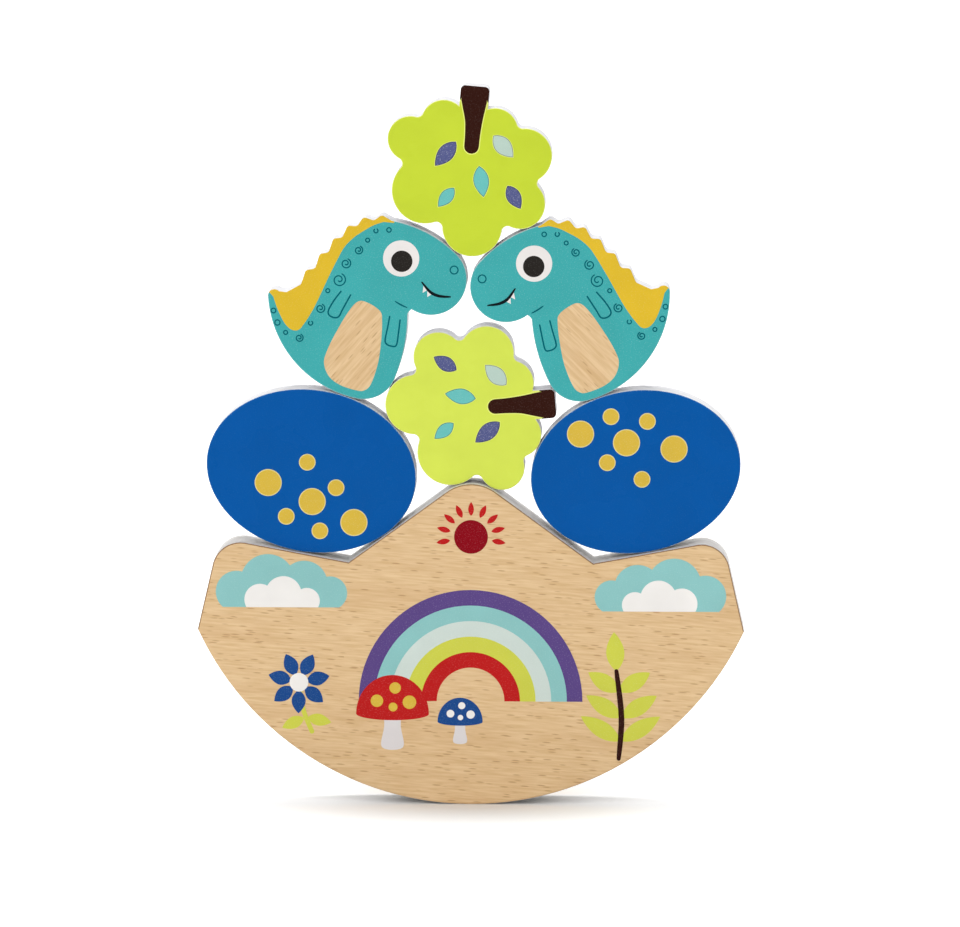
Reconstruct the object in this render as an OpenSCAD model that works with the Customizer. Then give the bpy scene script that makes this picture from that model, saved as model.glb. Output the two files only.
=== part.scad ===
// Dinosaur balance game: a wooden rocker base with six loose blocks stacked on it.
// Sizes are in millimetres and degrees. X runs to the right, Y away from the viewer
// and Z up. The origin is where the rocker touches the table.

/* [Rocker base] */
// Width across the two side corners
base_width = 210; // [196:1:224]
// Thickness of the base
base_thickness = 28; // [26:0.5:32]
// Height of the side corners above the table, which sets the radius of the underside
corner_height = 67.4; // [60:0.2:70]
// Rounding of the two long edges of the underside
rim_rounding = 2; // [1:0.5:3]
// How far the short sides lean inwards
side_lean = 13; // [8:0.5:18]
// Rounding of the two outer shoulders
shoulder_radius = 11; // [6:0.5:14]
// Slope of the shoulders, down towards the valleys
shoulder_slope = 10.5; // [8:0.5:13]
// Distance of each valley from the middle
valley_offset = 47; // [45:0.5:50]
// Height of the valleys
valley_height = 93.5; // [88:0.5:98]
// Slope of the peak between the valleys
peak_slope = 36; // [33:0.5:38]
// Rounding of the top of the peak
peak_radius = 16; // [13:0.5:18]

/* [Blocks] */
// Thickness of every block
block_thickness = 22; // [18:0.5:24]
// Clearance between neighbouring pieces
piece_gap = 0.3; // [0.3:0.05:0.5]

/* [Eggs] */
// Length of an egg
egg_length = 81; // [77:0.5:83]
// Height of an egg
egg_height = 62.5; // [58:0.5:64]
// Tilt of an egg, inner end down
egg_tilt = 10; // [7:0.5:12]

/* [Trees] */
// Height of a tree from the trunk's foot to the top of the crown
tree_height = 64; // [61:0.5:66]
// Turn of the middle tree from upright
middle_tree_turn = 94.5; // [93:0.5:97]
// Turn of the top tree from upright
top_tree_turn = 175; // [173:0.5:178]

/* [Dinosaurs] */
// Height of a dinosaur, which its whole outline grows with
dino_height = 71; // [68:0.5:73]
// Gap between the two snouts
snout_gap = 1.2; // [0.8:0.1:3]
// Where the snouts meet, right of the middle
snout_meeting = -1.3; // [-2:0.1:2]

/* [Hidden] */
// Arcs are drawn as true circles
$fn = 96;
// How far a rounding cuts into the sides that it joins, so that the two cross cleanly
ease = 0.02;

// Point at the given direction and distance
function polar(angle, distance) = distance * [cos(angle), sin(angle)];
// Point turned about the origin
function turned(p, angle) =
    [p[0] * cos(angle) - p[1] * sin(angle), p[0] * sin(angle) + p[1] * cos(angle)];
// Point mirrored left to right
function flipped(p) = [-p[0], p[1]];
// Left-hand normal of a direction
function left_of(v) = [-v[1], v[0]];
// Direction from p to q
function way(p, q) = (q - p) / norm(q - p);
// Point at distance rp from p and rq from q, on the left of the way from p to q
function meeting(p, rp, q, rq) =
    let (along = (norm(q - p) ^ 2 + rp ^ 2 - rq ^ 2) / (2 * norm(q - p)))
    p + along * way(p, q) + sqrt(rp ^ 2 - along ^ 2) * left_of(way(p, q));
// Middle of the rounding of a corner, whose two sides run in these directions from it
function rounding_middle(corner, before, after, radius) =
    corner + way([0, 0], before + after) * radius / sin(acos(before * after) / 2);
// Point on a cubic curve with end points a, d and handles b, c
function curve(a, b, c, d, t) =
    (1 - t) ^ 3 * a + 3 * (1 - t) ^ 2 * t * b + 3 * (1 - t) * t ^ 2 * c + t ^ 3 * d;

// Rocker base: half outline from the side corner up to the top of the peak
rocker_radius = ((base_width / 2) ^ 2 + corner_height ^ 2) / (2 * corner_height);
side_corner = [base_width / 2, corner_height];
valley = [valley_offset, valley_height];
side_way = polar(90 + side_lean, 1);
shoulder_way = polar(shoulder_slope, 1);
// The side and the shoulder, drawn on, meet in this point
side_length = ((side_corner - valley) * left_of(shoulder_way)) / (-side_way * left_of(shoulder_way));
shoulder_point = side_corner + side_length * side_way;
// The side, drawn on downwards past the underside
side_foot = side_corner - rocker_radius * side_way;
peak_point = [0, valley_height + valley_offset * tan(peak_slope)];
peak_centre = peak_point - [0, peak_radius / cos(peak_slope)];

// Trees: crown lobes [side, up, radius] in hundredths of the height, from the crown's
// middle, going round from the right of the trunk
tree_unit = tree_height / 100;
crown = [
    [14, -26, 14],
    [33, -13, 16.5],
    [33, 16, 15],
    [5.5, 32, 18],
    [-24.5, 13, 20],
    [-36, -17, 13.7],
    [-17, -28.5, 13.7]
];
// Rounding between two lobes
lobe_blend = 3.5 * tree_unit;
trunk_foot_up = -52 * tree_unit;
trunk_foot_width = 17.5 * tree_unit;
trunk_rounding = 3 * tree_unit;
function lobe_middle(i) = tree_unit * [crown[i][0], crown[i][1]];
function lobe_radius(i) = tree_unit * crown[i][2];
top_lobe = 3;
peak_lobes = [4, 5];

// Middle tree: two lobes ride on the round top of the peak
middle_left = turned(lobe_middle(peak_lobes[0]), middle_tree_turn);
middle_right = turned(lobe_middle(peak_lobes[1]), middle_tree_turn);
middle_tree_place = peak_centre - meeting(
    middle_right, lobe_radius(peak_lobes[1]) + piece_gap + peak_radius,
    middle_left, lobe_radius(peak_lobes[0]) + piece_gap + peak_radius);
// A point of the middle tree, in place
function on_middle_tree(p) = middle_tree_place + turned(p, middle_tree_turn);
trunk_corner = [trunk_foot_width / 2 - trunk_rounding, trunk_foot_up + trunk_rounding];

// Eggs: half axes, and the seat that touches the shoulder and the peak's side
egg_axes = [egg_length / 2, egg_height / 2];
// Distance from the egg's centre to a line that touches it and faces in this direction
function egg_reach(angle) =
    norm([egg_axes[0] * cos(angle - egg_tilt), egg_axes[1] * sin(angle - egg_tilt)]);
egg_from_shoulder = egg_reach(-90 + shoulder_slope) + piece_gap;
egg_from_peak = egg_reach(-90 - peak_slope) + piece_gap;
valley_turn = peak_slope + shoulder_slope;
egg_seat = valley
    + (egg_from_peak * shoulder_way - egg_from_shoulder * polar(-peak_slope, 1)) / sin(valley_turn);
// Halvings of a search, enough for far less than the clearance
search_steps = 30;
// Room between an egg and a round neighbour
function egg_room(centre, neighbour, radius) =
    max([for (angle = [0 : 359]) (neighbour - centre) * polar(angle, 1) - egg_reach(angle)]) - radius;
// Halving search for the slide out along the shoulder that makes room for the neighbours
function egg_slide(neighbours, low = 0, high = egg_height, steps = search_steps) =
    let (slide = (low + high) / 2)
    let (room = min([for (n = neighbours) egg_room(egg_seat + slide * shoulder_way, n[0], n[1])]))
    steps == 0 ? low
    : room < piece_gap
        ? egg_slide(neighbours, slide, high, steps - 1)
        : egg_slide(neighbours, low, slide, steps - 1);
// Point of an egg's outline that faces in the given direction
function egg_point(centre, angle) =
    let (a = angle - egg_tilt)
    centre + turned([egg_axes[0] ^ 2 * cos(a), egg_axes[1] ^ 2 * sin(a)], egg_tilt) / egg_reach(angle);

// Both eggs make room for the middle tree; the left side is worked out as its mirror image
left_egg_place = egg_seat + shoulder_way
    * egg_slide([for (i = [3, 4]) [flipped(on_middle_tree(lobe_middle(i))), lobe_radius(i)]]);
right_egg_place = egg_seat + shoulder_way
    * egg_slide(concat(
        [for (i = [5, 6]) [on_middle_tree(lobe_middle(i)), lobe_radius(i)]],
        [[on_middle_tree(flipped(trunk_corner)), trunk_rounding]]));

// Dinosaurs: facing right, from the middle of the round rump, in hundredths of the height;
// the back and the chest are arcs of big discs that the rump lies in
dino_unit = dino_height / 100;
rump_radius = 18.3 * dino_unit;
back_radius = 60 * dino_unit;
back_way = 75;
back_middle = polar(back_way, back_radius - rump_radius + ease);
chest_radius = 90 * dino_unit;
chest_way = 153.5;
chest_middle = polar(chest_way, chest_radius - rump_radius + ease);
// The forehead is an arc of a third big disc, and the round snout lies in that
forehead_radius = 66.2 * dino_unit;
forehead_middle = [4.5, 13] * dino_unit;
snout_radius = 19.4 * dino_unit;
snout_way = 42;
snout_middle = forehead_middle + polar(snout_way, forehead_radius - snout_radius + ease);
// Underside of the jaw, and the round notch between it and the chest
jaw = [[20, 31], [38, 26.8]] * dino_unit;
notch_middle = [31.2, 23.1] * dino_unit;
notch_radius = 6.5 * dino_unit;
// Tail: its round tip lies in the back's disc
tail_radius = 3.6 * dino_unit;
tail_way = 179.5;
tail_middle = back_middle + polar(tail_way, back_radius - tail_radius + ease);
tail_top = tail_middle + [0, 0.8 * tail_radius];
tail_pit = [-39, 42.4] * dino_unit;
// Crest: teeth from the forehead down to the tail, with the pits between them on a curve
teeth = 6;
tooth_rise = [-1, 3.6] * dino_unit;
tooth_rounding = 2.4 * dino_unit;
crest = [[21.5, 76.5], [-1.7, 84.6], [-13.8, 61.1], [-31, 46.1]] * dino_unit;
pits = [for (i = [0 : teeth]) curve(crest[0], crest[1], crest[2], crest[3], i / teeth)];
peaks = [for (i = [0 : teeth - 1]) (pits[i] + pits[i + 1]) / 2 + tooth_rise];
// The crest's line goes from pit to peak to pit, and ends in the tail
crest_line = concat(
    [for (i = [0 : teeth - 1]) each [pits[i], peaks[i]]],
    [pits[teeth], tail_pit, tail_top]);
// Direction from a corner of the line to a neighbouring one
function crest_way(i, step) = way(crest_line[i], crest_line[i + step]);
function tooth_middle(i) =
    rounding_middle(peaks[i], crest_way(2 * i + 1, -1), crest_way(2 * i + 1, 1), tooth_rounding);

// Seat of a right-hand dinosaur's rump: this far off the egg, where the egg faces in
// this direction
function seat(egg, angle, gap) = egg_point(egg, angle) + polar(angle, gap + rump_radius);
// Directions on an egg between which a dinosaur can sit
first_seat = 60;
last_seat = 150;
// Halving search for the direction that leaves this distance to the middle tree
function seat_angle(egg, gap, neighbour, distance,
                    low = first_seat, high = last_seat, steps = search_steps) =
    let (angle = (low + high) / 2)
    steps == 0 ? angle
    : norm(seat(egg, angle, gap) - neighbour) > distance
        ? seat_angle(egg, gap, neighbour, distance, angle, high, steps - 1)
        : seat_angle(egg, gap, neighbour, distance, low, angle, steps - 1);
function dino_seat(egg, gap, neighbour, radius) =
    seat(egg, seat_angle(egg, gap, neighbour, radius + piece_gap + rump_radius), gap);
// Turn that brings the snout of a dinosaur this close to the middle
function dino_turn(seat, snout_edge) =
    acos((seat[0] - snout_radius - snout_edge) / norm(snout_middle))
    - atan2(snout_middle[1], snout_middle[0]);
// A point of a right-hand dinosaur, in place
function on_dino(seat, turn, p) = seat + flipped(turned(p, turn));
// Gap under the rump that also leaves the clearance under the back
function rump_gap(egg, neighbour, radius, snout_edge) =
    let (first = dino_seat(egg, piece_gap, neighbour, radius))
    let (back = on_dino(first, dino_turn(first, snout_edge), back_middle))
    piece_gap + max(0, piece_gap - egg_room(egg, back, back_radius));

// The dinosaurs sit on the eggs and lean on the middle tree
left_lean = flipped(on_middle_tree(lobe_middle(top_lobe)));
left_edge = snout_gap / 2 - snout_meeting;
left_gap = rump_gap(left_egg_place, left_lean, lobe_radius(top_lobe), left_edge);
left_seat = dino_seat(left_egg_place, left_gap, left_lean, lobe_radius(top_lobe));
left_turn = dino_turn(left_seat, left_edge);
right_lean = on_middle_tree(trunk_corner);
right_edge = snout_gap / 2 + snout_meeting;
right_gap = rump_gap(right_egg_place, right_lean, trunk_rounding, right_edge);
right_seat = dino_seat(right_egg_place, right_gap, right_lean, trunk_rounding);
right_turn = dino_turn(right_seat, right_edge);

// The top tree stands on the heads: one lobe between them, the others clear of them
head_discs = concat(
    [[forehead_middle, forehead_radius]],
    [for (i = [0 : 2]) [tooth_middle(i), tooth_rounding]]);
left_heads = [for (d = head_discs) [flipped(on_dino(left_seat, left_turn, d[0])), d[1]]];
right_heads = [for (d = head_discs) [on_dino(right_seat, right_turn, d[0]), d[1]]];
function on_top_tree(p) = turned(flipped(p), top_tree_turn);
head_distance = left_heads[0][1] + piece_gap + lobe_radius(top_lobe);
top_tree_x = meeting(left_heads[0][0], head_distance, right_heads[0][0], head_distance)[0]
    - on_top_tree(lobe_middle(top_lobe))[0];
// Height at which a lobe just clears a disc of a head
function clear_height(lobe, radius, head) =
    let (reach = radius + piece_gap + head[1])
    let (aside = top_tree_x + lobe[0] - head[0][0])
    abs(aside) < reach ? head[0][1] + sqrt(reach ^ 2 - aside ^ 2) - lobe[1] : 0;
top_tree_place = [top_tree_x, max([
    for (i = [2 : 4])
        for (head = concat(left_heads, right_heads))
            clear_height(on_top_tree(lobe_middle(i)), lobe_radius(i), head)
])];

// The tip between a corner and its rounding, which an outer corner loses and an inner one
// gains; before and after are the directions from the corner along its two sides,
// counter-clockwise round the outer corner
module corner_tip(corner, before, after, radius) {
    middle = rounding_middle(corner, before, after, radius);
    first = corner + before * ((middle - corner) * before);
    last = corner + after * ((middle - corner) * after);
    difference() {
        polygon([middle, 2 * first - middle, 2 * corner - middle, 2 * last - middle]);
        translate(middle)
            circle(radius + ease);
    }
}

// Upright board of the given thickness from a flat shape, its middle on Y = 0
module board(thickness) {
    rotate([90, 0, 0])
        linear_extrude(thickness, center = true)
        children();
}

// Rounding that fills the corner between a lobe and the next one round the crown
module lobe_corner(i) {
    middle = meeting(lobe_middle(i + 1), lobe_radius(i + 1) + lobe_blend,
                     lobe_middle(i), lobe_radius(i) + lobe_blend);
    difference() {
        polygon([lobe_middle(i), middle, lobe_middle(i + 1), [0, 0]]);
        translate(middle)
            circle(lobe_blend + ease);
    }
}

module trunk_foot() {
    half = trunk_foot_width / 2;
    difference() {
        translate([-half, trunk_foot_up])
            square([trunk_foot_width, -trunk_foot_up]);
        corner_tip([-half, trunk_foot_up], [0, 1], [1, 0], trunk_rounding);
        corner_tip([half, trunk_foot_up], [-1, 0], [0, 1], trunk_rounding);
    }
}

module tree_shape() {
    polygon([for (i = [0 : len(crown) - 1]) lobe_middle(i)]);
    trunk_foot();
    for (i = [0 : len(crown) - 1])
        translate(lobe_middle(i))
            circle(lobe_radius(i));
    for (i = [0 : len(crown) - 2])
        lobe_corner(i);
}

module egg_shape() {
    rotate(egg_tilt)
        scale([egg_length / egg_height, 1])
        circle(d = egg_height);
}

// A disc of the dinosaur
module disc(middle, radius) {
    translate(middle)
        circle(radius);
}

// Body and tail, cut from the big discs under the crest and beside the rump
module dino_body() {
    far = 3 * rump_radius;
    intersection() {
        disc(back_middle, back_radius);
        disc(chest_middle, chest_radius);
        disc(forehead_middle, forehead_radius);
        polygon([
            polar(back_way + 180, far), [0, 0], polar(chest_way + 180, far), [far, dino_height],
            tooth_middle(0), pits[teeth] / 2, tail_middle, tail_middle + polar(tail_way, far),
            [-dino_height, -far]
        ]);
    }
}

module dino_head() {
    intersection() {
        disc(forehead_middle, forehead_radius);
        polygon(concat(
            jaw,
            [snout_middle, snout_middle + polar(snout_way, 2 * snout_radius)],
            [[snout_radius, dino_height], tooth_middle(0), [0, dino_height / 2]]));
    }
    disc(snout_middle, snout_radius);
}

// Rounded corner between the chest and the jaw
module dino_neck() {
    jaw_way = way(jaw[0], jaw[1]);
    chest_side = way(notch_middle, chest_middle);
    difference() {
        polygon([
            notch_middle,
            notch_middle + 2 * notch_radius * left_of(jaw_way),
            notch_middle + 2 * notch_radius * (left_of(jaw_way) + chest_side),
            notch_middle + 2 * notch_radius * chest_side
        ]);
        disc(notch_middle, notch_radius);
    }
}

// Crest with rounded teeth and pits, filled in down to the rump and the tail
module dino_crest() {
    difference() {
        polygon(concat(crest_line, [tail_middle, [0, 0]]));
        for (i = [1 : 2 : 2 * teeth])
            corner_tip(crest_line[i], crest_way(i, -1), crest_way(i, 1), tooth_rounding);
    }
    for (i = [2 : 2 : 2 * teeth])
        corner_tip(crest_line[i], crest_way(i, 1), crest_way(i, -1), tooth_rounding);
}

module dino_shape() {
    dino_body();
    dino_head();
    dino_neck();
    dino_crest();
    disc([0, 0], rump_radius);
    disc(tail_middle, tail_radius);
}

// Wheel with rounded rims, whose lowest stretch is the underside of the base
module rocker_wheel() {
    half = base_thickness / 2;
    translate([0, 0, rocker_radius])
        rotate([90, 0, 0])
        rotate_extrude()
        difference() {
            translate([0, -half])
                square([rocker_radius, base_thickness]);
            corner_tip([rocker_radius, -half], [-1, 0], [0, 1], rim_rounding);
            corner_tip([rocker_radius, half], [0, -1], [-1, 0], rim_rounding);
        }
}

// Sides, shoulders and peak of the base, drawn on below the underside
module rocker_top() {
    difference() {
        polygon([
            side_foot, shoulder_point, valley, peak_point,
            flipped(valley), flipped(shoulder_point), flipped(side_foot)
        ]);
        corner_tip(shoulder_point, -side_way, -shoulder_way, shoulder_radius);
        corner_tip(flipped(shoulder_point), flipped(-shoulder_way), flipped(-side_way),
                   shoulder_radius);
        corner_tip(peak_point, polar(-peak_slope, 1), polar(180 + peak_slope, 1), peak_radius);
    }
}

module rocker_base() {
    color("burlywood")
        intersection() {
            rocker_wheel();
            board(2 * base_thickness)
                rocker_top();
        }
}

module left_egg() {
    color("royalblue")
        mirror([1, 0, 0])
        translate([left_egg_place[0], 0, left_egg_place[1]])
        board(block_thickness)
        egg_shape();
}

module right_egg() {
    color("royalblue")
        translate([right_egg_place[0], 0, right_egg_place[1]])
        board(block_thickness)
        egg_shape();
}

module middle_tree() {
    color("yellowgreen")
        translate([middle_tree_place[0], 0, middle_tree_place[1]])
        board(block_thickness)
        rotate(middle_tree_turn)
        tree_shape();
}

module left_dinosaur() {
    color("mediumturquoise")
        translate([-left_seat[0], 0, left_seat[1]])
        board(block_thickness)
        rotate(left_turn)
        dino_shape();
}

module right_dinosaur() {
    color("mediumturquoise")
        translate([right_seat[0], 0, right_seat[1]])
        mirror([1, 0, 0])
        board(block_thickness)
        rotate(right_turn)
        dino_shape();
}

module top_tree() {
    color("yellowgreen")
        translate([top_tree_place[0], 0, top_tree_place[1]])
        board(block_thickness)
        rotate(top_tree_turn)
        mirror([1, 0])
        tree_shape();
}

rocker_base();
left_egg();
right_egg();
middle_tree();
left_dinosaur();
right_dinosaur();
top_tree();
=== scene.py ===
"""Looks of a wooden balance game: painted and printed blocks stacked on a rocking base."""
import math

import bmesh
import bpy
from mathutils import Matrix, Vector


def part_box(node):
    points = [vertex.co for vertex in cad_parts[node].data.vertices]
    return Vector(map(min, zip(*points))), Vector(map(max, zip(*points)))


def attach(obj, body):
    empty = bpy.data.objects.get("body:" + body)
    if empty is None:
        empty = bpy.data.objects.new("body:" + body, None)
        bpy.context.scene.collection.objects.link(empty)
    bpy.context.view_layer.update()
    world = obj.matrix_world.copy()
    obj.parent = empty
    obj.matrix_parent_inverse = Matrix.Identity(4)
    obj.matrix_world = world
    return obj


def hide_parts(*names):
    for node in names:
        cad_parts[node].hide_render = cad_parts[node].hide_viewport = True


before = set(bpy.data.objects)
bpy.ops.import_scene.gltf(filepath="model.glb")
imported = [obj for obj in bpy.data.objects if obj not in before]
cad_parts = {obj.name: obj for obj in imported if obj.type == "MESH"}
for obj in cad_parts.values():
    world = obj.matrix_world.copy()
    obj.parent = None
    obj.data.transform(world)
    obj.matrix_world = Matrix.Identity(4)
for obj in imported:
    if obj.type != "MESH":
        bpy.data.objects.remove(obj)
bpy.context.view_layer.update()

# Measures below are in millimetres and degrees, and the frame is in metres
MM = 0.001

# Edges of the blocks: their rounding, its steps, and how many of these keep the face's paint and any paint;
# the steps between take a paler band of paint, a painted highlight
BLOCK_ROUNDING = 0.7
BASE_ROUNDING = 1.0
ROUNDING_STEPS = 6
FACE_PAINT_STEPS = 2
PAINTED_STEPS = 4
SHARP_ANGLE = 50

# Places in a block's list of materials, after its face at 0
EDGE = 1
# The paler band along the rounded rim is a painted highlight
PAINTED_HIGHLIGHT = 2
RIM = 3

# Outlines: each CAD node is cut just beside its middle, where no corner of its mesh lies
CUT_DEPTH = 0.13
WELD_DISTANCE = 0.001
LONGEST_STEP = 1.0
SHARPEST_MITRE = 0.5

# Prints: how far each layer stands proud, how deep its slab sits, and the ink lines
PRINT_LIFT = 0.03
PRINT_DEPTH = 0.25
INK_WIDTH = 0.6
RING_WIDTH = 0.48
TRUNK_HALO_WIDTH = 0.38
LEAF_HALO_WIDTH = 0.2
BORDER_WIDTH = 0.25
BORDER_SHADE = 0.66
DOT_RIM_WIDTH = 0.35

# How finely curves, rounds and small arcs are drawn
CURVE_STEPS = 6
ROUND_POINTS = 40
SMALL_ARC_POINTS = 16
LINE_END_POINTS = 6

# Where each block's own drawing sits: its lowest corner there, and its turn in the stack
EGG_LENGTH = 81
EGG_HEIGHT = 62.5
LEFT_EGG_TURN = -10
RIGHT_EGG_TURN = 190
TREE_CORNER = (-31.81, -33.28)
MIDDLE_TREE_TURN = 94.5
TOP_TREE_TURN = 175
DINOSAUR_CORNER = (-34.95, -12.99)
LEFT_DINOSAUR_TURN = 3.81
RIGHT_DINOSAUR_TURN = 0.68

# The photograph's camera
CAMERA_TARGET = (3.09, 0, 130.45)
CAMERA_DISTANCE = 3300
CAMERA_AZIMUTH = -1.2
CAMERA_ELEVATION = 5.5
CAMERA_ROLL = 0.155
CAMERA_LENS = 321.5
CAMERA_SENSOR = 36

# Light: the sky's share low down and overhead, and each lamp's azimuth, elevation, strength and angle
SKY_LOW = 0.8
SKY_OVERHEAD = 0.15
TOP_LAMP = (180, 74, 0.48, 32)
FRONT_LAMP = (-20, 35, 0.34, 60)

# The floor, whose glow away from the foot keeps the shadow near it, and the white that is seen around
FLOOR_SIZE = 40000
FLOOR_WHITE = 0.94
FLOOR_GLOW = 0.6
GLOW_START = 25
GLOW_FULL = 105
SEEN_WHITE = 1.0
WHITE_LIGHT = (1, 1, 1, 1)

# Share of the mirror light that paint and wood give back, where 0.5 is plain varnish
PAINT_GLOSS = 0.05
WOOD_GLOSS = 0.2

# Roughness of each kind of paint
LACQUER_ROUGHNESS = 0.26
INK_ROUGHNESS = 0.34
TRUNK_ROUGHNESS = 0.4
DINO_ROUGHNESS = 0.42
PRINT_ROUGHNESS = 0.45

# How much each kind of paint is flecked with pale specks
LACQUER_SPECKS = 0.02
TRUNK_SPECKS = 0.05
INK_SPECKS = 0.12
# Pale specks in the painted highlight on the eggs' rims stand for glints
HIGHLIGHT_SPECKS = 0.3

# How much the wood of the base and of the bellies is streaked and flecked, and how its grain lies
BASE_STREAKS = 0.3
BASE_FLECKS = 0.55
BASE_GRAIN = -4
BELLY_STREAKS = 0.45
BELLY_FLECKS = 0.5
BELLY_GRAIN = 45

# Colours as they look on a display, from 0 to full
FULL = 255
BEECH_PALE = (233, 201, 156)
BEECH_MID = (218, 182, 134)
BEECH_DARK = (205, 164, 116)
BEECH_FLECK = (170, 122, 76)
EDGE_WHITE = (240, 240, 242)
EDGE_GREY = (224, 224, 228)
BASE_EDGE_WHITE = (238, 235, 231)
BASE_EDGE_GREY = (220, 214, 208)
DARK_TOP_LINE = (150, 112, 76)
EGG_BLUE = (0, 86, 164)
# A paler blue along the eggs' rounded rims, a painted highlight
HIGHLIGHT_BLUE = (40, 112, 180)
GOLD = (218, 184, 68)
PALE_GOLD = (234, 218, 142)
TOP_LIME = (201, 219, 58)
MIDDLE_LIME = (216, 231, 88)
PALE_LIME = (238, 246, 128)
TRUNK_BROWN = (48, 16, 7)

# Inks by name: the colour, and how much it is flecked with pale specks
LEAF_INKS = {
    "purple": ((86, 92, 140), 0.3),
    "mint": ((188, 211, 199), 0.1),
    "aqua": ((106, 194, 190), 0.1),
}
DINO_INKS = {
    "dino_teal": ((66, 172, 173), 0.1),
    # A paler teal along the dinosaurs' rounded rims, a painted highlight
    "highlight_teal": ((112, 192, 192), 0.1),
    "crest_gold": ((226, 188, 48), 0.08),
    "ink_teal": ((0, 98, 108), 0.0),
    "ink_black": ((10, 22, 26), 0.0),
    "eye_white": ((238, 233, 230), 0.0),
    "pupil": ((38, 34, 31), 0.05),
}
PRINT_INKS = {
    "purple": ((93, 72, 134), 0.09),
    "aqua": ((142, 198, 196), 0.09),
    "mint": ((208, 221, 214), 0.1),
    "white": ((243, 240, 236), 0.0),
    "lavender": ((224, 219, 219), 0.05),
    "lime": ((208, 211, 80), 0.08),
    "red": ((190, 28, 28), 0.1),
    "dark_red": ((138, 4, 22), 0.1),
    "blue": ((28, 74, 140), 0.09),
    "brown": ((46, 14, 8), 0.08),
}


# Material nodes

# The mix node's sockets for colours, by number because others on it have the same names
MIX_FACTOR = 0
MIX_FIRST = 6
MIX_SECOND = 7
MIX_RESULT = 2

# How much fine detail a noise has
PLAIN_DETAIL = 1.0
SOFT_DETAIL = 3.0
FINE_DETAIL = 4.0


def linear(colour):
    """A display colour as linear light, by the displays' standard curve."""
    channels = []
    for value in colour:
        share = value / FULL
        if share <= 0.04045:
            channels.append(share / 12.92)
        else:
            channels.append(((share + 0.055) / 1.055) ** 2.4)
    return (*channels, 1.0)


def shade(colour, factor):
    """A display colour made lighter or darker."""
    return tuple(min(FULL, value * factor) for value in colour)


def new_material(name):
    """An empty material, with its node tree and its shader."""
    material = bpy.data.materials.new(name)
    material.use_nodes = True
    tree = material.node_tree
    return material, tree, tree.nodes["Principled BSDF"]


def add_node(tree, kind, values=None, **settings):
    """A node with its settings, and its input values or links by name."""
    made = tree.nodes.new(kind)
    for name, value in settings.items():
        setattr(made, name, value)
    for name, value in (values or {}).items():
        if isinstance(value, bpy.types.NodeSocket):
            tree.links.new(value, made.inputs[name])
        else:
            made.inputs[name].default_value = value
    return made


def stretched(tree, size, grain_turn=0.0):
    """Object coordinates in which one feature has that size along, through and across the grain."""
    place = add_node(tree, "ShaderNodeTexCoord").outputs["Object"]
    values = {
        "Vector": place,
        "Rotation": (0.0, -math.radians(grain_turn), 0.0),
        "Scale": tuple(length * MM for length in size),
    }
    return add_node(tree, "ShaderNodeMapping", values, vector_type="TEXTURE").outputs["Vector"]


def noise(tree, size, detail, grain_turn=0.0):
    """Noise whose features have that size."""
    values = {"Vector": stretched(tree, size, grain_turn), "Scale": 1.0, "Detail": detail}
    return add_node(tree, "ShaderNodeTexNoise", values).outputs["Fac"]


def remap(tree, value, span, onto=(0.0, 1.0)):
    """A value stretched from one span onto another, and held inside it."""
    values = {
        "Value": value,
        "From Min": span[0],
        "From Max": span[1],
        "To Min": onto[0],
        "To Max": onto[1],
    }
    return add_node(tree, "ShaderNodeMapRange", values).outputs["Result"]


def mix(tree, factor, first, second):
    """Two colours mixed by a varying factor."""
    made = tree.nodes.new("ShaderNodeMix")
    made.data_type = "RGBA"
    tree.links.new(factor, made.inputs[MIX_FACTOR])
    for socket, value in ((made.inputs[MIX_FIRST], first), (made.inputs[MIX_SECOND], second)):
        if isinstance(value, bpy.types.NodeSocket):
            tree.links.new(value, socket)
        else:
            socket.default_value = linear(value)
    return made.outputs[MIX_RESULT]


def combined(tree, operation, first, second):
    """Two values combined by an operation such as MULTIPLY."""
    made = add_node(tree, "ShaderNodeMath", operation=operation)
    tree.links.new(first, made.inputs[0])
    tree.links.new(second, made.inputs[1])
    return made.outputs[0]


def bump(tree, height, depth, strength):
    """A bump of that depth from a height."""
    values = {"Height": height, "Distance": depth * MM, "Strength": strength}
    return add_node(tree, "ShaderNodeBump", values).outputs["Normal"]


# Beech: the sizes of its features along, through and across the grain, and the noise that shows them
GRAIN_LINE = (11, 7, 0.8)
GRAIN_LINE_SPAN = (0.34, 0.66)
GRAIN_STREAK = (70, 30, 5)
GRAIN_STREAK_SPAN = (0.48, 0.68)
FLECK_CELL = (6.0, 2.8, 0.9)
FLECK_SPAN = (0.18, 0.34)
FLECK_CHOICE_SPAN = (0.35, 0.65)
WOOD_SHEEN_SPAN = (0.2, 0.8)
WOOD_ROUGHNESS = (0.62, 0.48)
WOOD_BUMP_DEPTH = 0.05
WOOD_BUMP_STRENGTH = 0.35


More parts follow.
